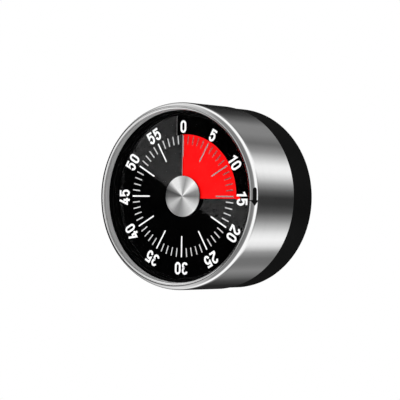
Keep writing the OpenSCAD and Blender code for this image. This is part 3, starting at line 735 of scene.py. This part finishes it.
# %% Red film and its black border
DISC_IN_R = 8.32 * MM
RED_R = 26.5 * MM
DISC_OUT_R = 34.4 * MM
LEAD_OFFSET = 0.87 * MM
DISC_SPAN = 352
MINUTES = 15
lead = 360 * MINUTES / 60
lead_angle = beside(lead, LEAD_OFFSET)
tail_angle = beside(lead - DISC_SPAN, 0)
red_shape = bmesh.new()
ramp_strip(red_shape, steps_between(DISC_IN_R, RED_R, 6), tail_angle, lead_angle,
           DISC_START_Y, DISC_T, RAMP_STEPS)
red = finish_piece("red_film_disc", red_shape, DISC_RED, "red_disc", ["time_disc"])
border_shape = bmesh.new()
ramp_strip(border_shape, steps_between(RED_R, DISC_OUT_R, 4), tail_angle, lead_angle,
           DISC_START_Y, DISC_T, RAMP_STEPS)
border = finish_piece("film_border", border_shape, FILM_BLACK, "red_disc")
print("red faces:", len(red.data.polygons), "border faces:", len(border.data.polygons))

# %% Red pointer at the leading edge
POINTER = [(26.2, 0.6), (27.2, 0.4), (28.7, -0.6), (27.4, -1.5), (26.2, -1.0)]
POINTER_T = 0.02 * MM
POINTER_GAP = 0.01 * MM
pointer_y = DISC_START_Y - PITCH * lead / 360 - POINTER_T - POINTER_GAP
pointer_shape = bmesh.new()
slab(pointer_shape, [(x * MM, z * MM) for x, z in POINTER], pointer_y, POINTER_T)
pointer = finish_piece("red_pointer", pointer_shape, DISC_RED, "red_disc")
print("pointer corners:", len(pointer.data.vertices))

# %% [markdown]
# ## Ticks
# There is a tick for each minute and a longer one every five. They are thin slabs of ink on the film.
# A loop places them round the dial, and the ones of the first quarter hour get the thinnest ink.

# %% Ticks
INK_T = 0.012 * MM
INK_GAP = 0.004 * MM
INK_Y = FOIL_FRONT_Y - INK_T - INK_GAP
TICK_OUT = 26.0 * MM
LONG_IN, LONG_W = 17.0 * MM, 0.6 * MM
SHORT_IN, SHORT_W = 22.3 * MM, 0.5 * MM


def round_dial(angle, points):
    """Turns points, given as (sideways, outwards), to an angle clockwise from 12 o'clock."""
    a = math.radians(angle)
    return [(x * math.cos(a) + r * math.sin(a), r * math.cos(a) - x * math.sin(a)) for x, r in points]


def ticks(name, minutes, inner, width, material):
    """One piece with a bar of ink at each of the minutes."""
    shape = bmesh.new()
    half = width / 2
    for minute in minutes:
        bar = [(-half, inner), (half, inner), (half, TICK_OUT), (-half, TICK_OUT)]
        slab(shape, round_dial(6 * minute, bar), INK_Y, INK_T)
    piece = finish_piece(name, shape, material, "housing")
    piece.visible_glossy = False


FIRST_QUARTER = 15
long_minutes = range(0, 60, 5)
short_minutes = [m for m in range(60) if m % 5]
ticks("long_ticks", [m for m in long_minutes if m > FIRST_QUARTER], LONG_IN, LONG_W, LONG_INK)
ticks("long_ticks_first_quarter", [m for m in long_minutes if m <= FIRST_QUARTER],
      LONG_IN, LONG_W, LONG_INK_THIN)
ticks("short_ticks", [m for m in short_minutes if m > FIRST_QUARTER], SHORT_IN, SHORT_W, SHORT_INK)
ticks("short_ticks_first_quarter", [m for m in short_minutes if m < FIRST_QUARTER],
      SHORT_IN, SHORT_W, SHORT_INK_THIN)
print("minute marks:", len(long_minutes) + len(short_minutes))

# %% [markdown]
# ## Numerals
# The numerals are bold and narrow, one every five minutes, with their tops towards the rim. A font would be
# quick, but a numeral is only a few strokes, so each digit here is a list of centre lines that a ribbon of
# ink follows. Straight parts have two points, and round parts are arcs.

# %% Digit centre lines
DIGIT_H = 5.35 * MM
DIGIT_W = 2.98 * MM
STROKE = 0.9 * MM
DIGIT_GAP = 0.62 * MM
NUMERAL_R = 27.6 * MM
NUMERAL_DROP = 0.5 * MM
FLAG_W, FLAG_BOTTOM, FLAG_TOP = 0.95 * MM, 1.9 * MM, 0.98 * MM      # of the 1, down from its top
SLANT_BACK = 0.15 * MM      # of the 4, from its stem to the top of its slant


def digit_lines(digit, w):
    """Centre lines of a digit that is w wide: (points, closed) for each stroke. x is 0 in the middle."""
    s = STROKE / 2
    h = DIGIT_H
    side = w / 2 - s
    bow = 1.25 * side
    if digit == "0":
        return [(arc((0, h - s - bow), (side, bow), 0, 180, 12)
                 + arc((0, s + bow), (side, bow), 180, 360, 12), True)]
    if digit == "1":
        stem = 0.25 * w
        return [([(stem - s - FLAG_W, h - FLAG_BOTTOM), (stem, h - FLAG_TOP), (stem, 0)], False)]
    if digit == "2":
        top = arc((0, h - s - bow), (side, bow), 172, -28, 14)
        return [(top + [(-side, 2.3 * s), (-side, s), (w / 2, s)], False)]
    if digit == "3":
        small = 0.23 * h
        upper = arc((0, h - s - small), (side, small), 165, -75, 12)
        lower_h = (h - 2 * s - 2 * small) / 2
        lower = arc((0, s + lower_h), (side, lower_h), 75, -165, 12)
        return [(upper, False), (lower, False)]
    if digit == "4":
        stem = 0.2 * w
        bar = 0.27 * h
        return [([(stem - SLANT_BACK, h), (-w / 2 + s, bar), (w / 2, bar)], False),
                ([(stem, 0.62 * h), (stem, bar + s)], False), ([(stem, bar - s), (stem, 0)], False)]
    bowl_h = 0.29 * h
    bowl = arc((0, s + bowl_h), (side, bowl_h), 140, -165, 16)
    return [([(side + 0.35 * s, h - s), (-side, h - s), (-side, s + 1.55 * bowl_h)] + bowl[1:], False)]


# %% Ribbon along a line
def ribbon(shape, line, closed, turn_to_dial):
    """Adds a flat ribbon of ink STROKE wide along the line, with mitred corners."""
    half = STROKE / 2
    points = [Vector(p) for p in line]
    count = len(points)
    sides = []
    for i, point in enumerate(points):
        before = points[i - 1] if closed or i else None
        after = points[(i + 1) % count] if closed or i < count - 1 else None
        came = (point - before).normalized() if before is not None else (after - point).normalized()
        goes = (after - point).normalized() if after is not None else came
        across = Vector((-(came.y + goes.y), came.x + goes.x)).normalized()
        reach = half / max(0.5, across.dot(Vector((-goes.y, goes.x))))
        sides.append((point + across * reach, point - across * reach))
    last = count if closed else count - 1
    for i in range(last):
        a, b = sides[i], sides[(i + 1) % count]
        slab(shape, turn_to_dial([a[0], b[0], b[1], a[1]]), INK_Y, INK_T)


# %% Numerals round the dial
def numeral(value):
    """The piece for one numeral, with its top towards the rim."""
    text = str(value)
    shape = bmesh.new()
    for place_in_text, digit in enumerate(text):
        middle = (place_in_text - (len(text) - 1) / 2) * (DIGIT_W + DIGIT_GAP)

        def turn_to_dial(points, middle=middle):
            turned_points = round_dial(6 * value, [(x + middle, r + NUMERAL_R) for x, r in points])
            return [(x, z - NUMERAL_DROP) for x, z in turned_points]

        for line, closed in digit_lines(digit, DIGIT_W):
            ribbon(shape, line, closed, turn_to_dial)
    piece = finish_piece("numeral_%02d" % value, shape, NUMERAL_INK, "housing")
    piece.visible_glossy = False
    return piece


numerals = [numeral(value) for value in long_minutes]
print("numerals:", [piece.name for piece in numerals])

# %% [markdown]
# ## Finishes on the carried parts
# The other CAD nodes have the right shape already. Each one only gets its material, looked up by the slot
# that the record gives it. The replaced nodes get theirs too, so that no node is left bare.

# %% Assign the finishes
FINISH = {
    "arrow_print": ARROW_PRINT, "black_plastic": BLACK_PLASTIC, "inner_plastic": INNER_PLASTIC,
    "lens_clear": LENS_CLEAR, "foil_clear": FOIL_CLEAR, "dial_black": DIAL_BLACK, "disc_red": DISC_RED,
    "cap_aluminium": CAP_ALUMINIUM, "ring_steel": RING_STEEL, "pad_rubber": PAD_RUBBER, **WORKS,
}
for part in frame["record"]["subparts"]:
    mesh = nodes[part["node"]].data
    mesh.materials.clear()
    mesh.materials.append(FINISH[part["material_slot"]])

# %% [markdown]
# ## Studio
# Brushed steel shows mostly what stands round it, so the studio matters as much as the metal. The world is a
# tent of light. Behind the timer it has soft dark and bright stripes, which run along the ring's side. Beside
# it the tent is bright. In front it is uneven, with a bright end at the timer's own height and a dark patch
# that the dial faces. Matte surfaces are lit evenly. A card in front of the dial gives its upper half a
# straight sheen.

# %% Light tent
EVEN_LIGHT = 1.5
BRIGHT_END = 1.2
DARK_PATCH = Vector((-0.565, -0.825, 0.014)).normalized()
PATCH_EDGES = (13, 9)        # degrees from its middle, outside and inside
STRIPES_FROM = (52, 46)      # degrees from straight behind
TENT_FROM = (0.15, 0.35)     # y of a look
END_Y, END_Z, END_X = (-0.84, -0.92), (0.33, 0.25), (0.5, 0.2)
STRIPES = [
    (-180, 0.02), (-144, 0.02), (-128, 0.06), (-118, 0.15), (-104, 0.26), (-92, 0.18), (-82, 0.18),
    (-72, 0.32), (-62, 0.88), (-54, 1.03), (-46, 0.9), (-38, 0.6), (-28, 0.28), (-18, 0.08), (-8, 0.03),
    (1, 0.03), (9, 0.12), (17, 0.34), (25, 0.7), (33, 0.98), (41, 0.97), (50, 0.64), (60, 0.3), (72, 0.15),
    (88, 0.24), (104, 0.24), (114, 0.13), (128, 0.04), (150, 0.01), (180, 0.02),
]
TENT = [
    (-180, 0.06), (-168, 0.1), (-150, 0.4), (-135, 0.85), (-100, 1.1), (100, 1.1), (135, 0.85),
    (150, 0.4), (168, 0.1), (180, 0.06),
]
FRONT_RING = [
    (-180, 0.0), (-168, 0.0), (-158, 0.3), (-146, 0.85), (-134, 1.3), (-122, 1.4), (-90, 0.4), (-50, 0.32),
    (0, 0.32), (50, 0.32), (90, 0.42), (120, 1.3), (133, 1.5), (144, 0.8), (156, 0.2), (167, 0.0), (180, 0.0),
]


def smooth_step(tree, value, low, high):
    """0 at low and 1 at high, with soft ends."""
    node = place(tree, "ShaderNodeMapRange", {"Value": value, "From Min": low, "From Max": high},
                 interpolation_type="SMOOTHSTEP")
    return node.outputs["Result"]


def cosine(degrees):
    return math.cos(math.radians(degrees))


def studio_world():
    """The tent. The camera sees plain white, shiny surfaces see the tent, and the rest is lit evenly."""
    world = bpy.data.worlds.new("studio")
    world.use_nodes = True
    tree = world.node_tree
    tree.nodes.clear()
    look = place(tree, "ShaderNodeTexCoord").outputs["Generated"]
    parts = place(tree, "ShaderNodeSeparateXYZ", {0: look})
    away = parts.outputs["Y"]
    share = share_of_turn(tree, look)
    height = place(tree, "ShaderNodeMath", {0: parts.outputs["Z"]}, operation="ABSOLUTE")
    level = place(tree, "ShaderNodeMath", {
        0: smooth_step(tree, height.outputs[0], *END_Z), 1: smooth_step(tree, parts.outputs["X"], *END_X),
    }, operation="MULTIPLY")
    bright_end = place(tree, "ShaderNodeMath", {
        0: smooth_step(tree, away, *END_Y), 1: level.outputs[0],
    }, operation="MULTIPLY")
    front = mix_colours(tree, bright_end.outputs[0], ring_of_tones(tree, share, FRONT_RING),
                        (BRIGHT_END, BRIGHT_END, BRIGHT_END, 1))
    sides = mix_colours(tree, smooth_step(tree, away, *TENT_FROM), front, ring_of_tones(tree, share, TENT))
    mirrored = mix_colours(tree, smooth_step(tree, away, *map(cosine, STRIPES_FROM)), sides,
                           ring_of_tones(tree, share, STRIPES))
    near = place(tree, "ShaderNodeVectorMath", {0: look, 1: DARK_PATCH}, operation="DOT_PRODUCT")
    patch = smooth_step(tree, near.outputs["Value"], *map(cosine, PATCH_EDGES))
    mirrored = mix_colours(tree, patch, mirrored, (0, 0, 0, 1))
    path = place(tree, "ShaderNodeLightPath")
    even = place(tree, "ShaderNodeBackground", {"Color": (1, 1, 1, 1), "Strength": EVEN_LIGHT})
    white = place(tree, "ShaderNodeBackground", {"Color": (1, 1, 1, 1), "Strength": 1.0})
    shiny = place(tree, "ShaderNodeBackground", {"Color": mirrored, "Strength": 1.0})
    lit = place(tree, "ShaderNodeMixShader",
                {0: path.outputs["Is Glossy Ray"], 1: even.outputs[0], 2: shiny.outputs[0]})
    seen = place(tree, "ShaderNodeMixShader",
                 {0: path.outputs["Is Camera Ray"], 1: lit.outputs[0], 2: white.outputs[0]})
    output = place(tree, "ShaderNodeOutputWorld")
    tree.links.new(seen.outputs[0], output.inputs["Surface"])
    return world


scene = bpy.context.scene
scene.world = studio_world()
scene.view_settings.view_transform = "Standard"
print("tent stops:", len(STRIPES), "behind,", len(TENT), "beside,", len(FRONT_RING), "in front")

# %% Sheen card
CARD_DISTANCE = 0.29
CARD_LENGTH, CARD_WIDTH = 0.34, 0.12
CARD_GLOW = (0.4, 1.44)      # at its lower and its upper edge
CARD_COLUMNS, CARD_ROWS = 8, 4
CARD_AIM_D = 7.4
SHEEN_ANGLE = math.radians(120)


def glow(name, low, high, width):
    """A light whose strength changes from low to high over the width of a card."""
    made = bpy.data.materials.new(name)
    made.use_nodes = True
    tree = made.node_tree
    tree.nodes.clear()
    spot = place(tree, "ShaderNodeTexCoord").outputs["Object"]
    parts = place(tree, "ShaderNodeSeparateXYZ", {0: spot})
    fall = place(tree, "ShaderNodeMapRange", {
        "Value": parts.outputs["Y"], "From Max": width, "To Min": high, "To Max": low,
    })
    light = place(tree, "ShaderNodeEmission", {"Strength": fall.outputs["Result"]})
    output = place(tree, "ShaderNodeOutputMaterial")
    tree.links.new(light.outputs[0], output.inputs["Surface"])
    return made


def sheen_card():
    """A card whose lower edge, seen in the dial, runs from the 50 minute to the 20 minute line."""
    along = Vector((math.sin(SHEEN_ANGLE), 0, math.cos(SHEEN_ANGLE)))
    up = Vector((-along.z, 0, along.x))
    middle = Vector((0, behind_front(CARD_AIM_D), 0)) + DARK_PATCH * (CARD_DISTANCE / -DARK_PATCH.y)
    shape = bmesh.new()
    rows = []
    for j in range(CARD_ROWS + 1):
        rows.append([
            shape.verts.new((CARD_LENGTH * (i / CARD_COLUMNS - 0.5), CARD_WIDTH * j / CARD_ROWS, 0))
            for i in range(CARD_COLUMNS + 1)
        ])
    for low, high in zip(rows, rows[1:]):
        for i in range(CARD_COLUMNS):
            shape.faces.new([low[i], low[i + 1], high[i + 1], high[i]])
    mesh = bpy.data.meshes.new("sheen_card")
    shape.to_mesh(mesh)
    shape.free()
    mesh.materials.append(glow("card_glow", *CARD_GLOW, CARD_WIDTH))
    card = bpy.data.objects.new("sheen_card", mesh)
    scene.collection.objects.link(card)
    turn = Matrix((along, up, along.cross(up))).transposed().to_4x4()
    card.matrix_world = Matrix.Translation(middle) @ turn
    card.visible_camera = False
    card.visible_diffuse = False
    card.visible_shadow = False
    return card


card = sheen_card()
print("card faces:", len(card.data.polygons))

# %% [markdown]
# ## Floor
# The floor is plain and pale, and lies well below the timer, which hangs upright as on a steel door. Steel
# doesn't mirror it, so the stripes on the ring stay as the tent gives them.

# %% Floor
FLOOR_Z = -0.2
FLOOR_R = 0.7
FLOOR_AROUND = 128


def floor_material():
    """Pale paint in two close greys."""
    made, tree, shader = new_material("floor")
    patches = use(tree, handling, size=4.0)
    tree.links.new(mix_colours(tree, patches.outputs[0], (0.9, 0.9, 0.9, 1), (0.93, 0.93, 0.93, 1)),
                   shader.inputs["Base Color"])
    shader.inputs["Roughness"].default_value = 0.8
    return made


floor_shape = turned([(0, 0), (FLOOR_R, 0)], closed=False, around=FLOOR_AROUND)
floor_mesh = bpy.data.meshes.new("floor")
floor_shape.to_mesh(floor_mesh)
floor_shape.free()
floor_mesh.materials.append(floor_material())
floor = bpy.data.objects.new("floor", floor_mesh)
scene.collection.objects.link(floor)
floor.rotation_euler = (math.pi / 2, 0, 0)
floor.location = (0, 0, FLOOR_Z)
floor.visible_glossy = False
print("floor %.2f m below the timer's axis" % -FLOOR_Z)

# %% [markdown]
# ## Camera
# The camera stands to the right, and its long lens keeps the circles nearly free of perspective.

# %% Camera
CAMERA_AT = Vector((0.49608, -0.77183, -0.01236))
CAMERA_YAW, CAMERA_PITCH, CAMERA_ROLL = 33.741, 0.707, -0.872
LENS_MM = 185.98
camera_data = bpy.data.cameras.new("camera")
camera_data.lens = LENS_MM
camera_data.sensor_width = 36
camera_data.clip_start = 0.01
camera_data.clip_end = 20
camera = bpy.data.objects.new("camera", camera_data)
camera.matrix_world = (
    Matrix.Translation(CAMERA_AT)
    @ Matrix.Rotation(math.radians(CAMERA_YAW), 4, "Z")
    @ Matrix.Rotation(math.radians(CAMERA_PITCH), 4, "X")
    @ Matrix.Rotation(math.radians(CAMERA_ROLL), 4, "Y")
    @ Matrix.Rotation(math.pi / 2, 4, "X")
)
scene.collection.objects.link(camera)
scene.camera = camera
print("camera %.2f m from the timer" % CAMERA_AT.length)
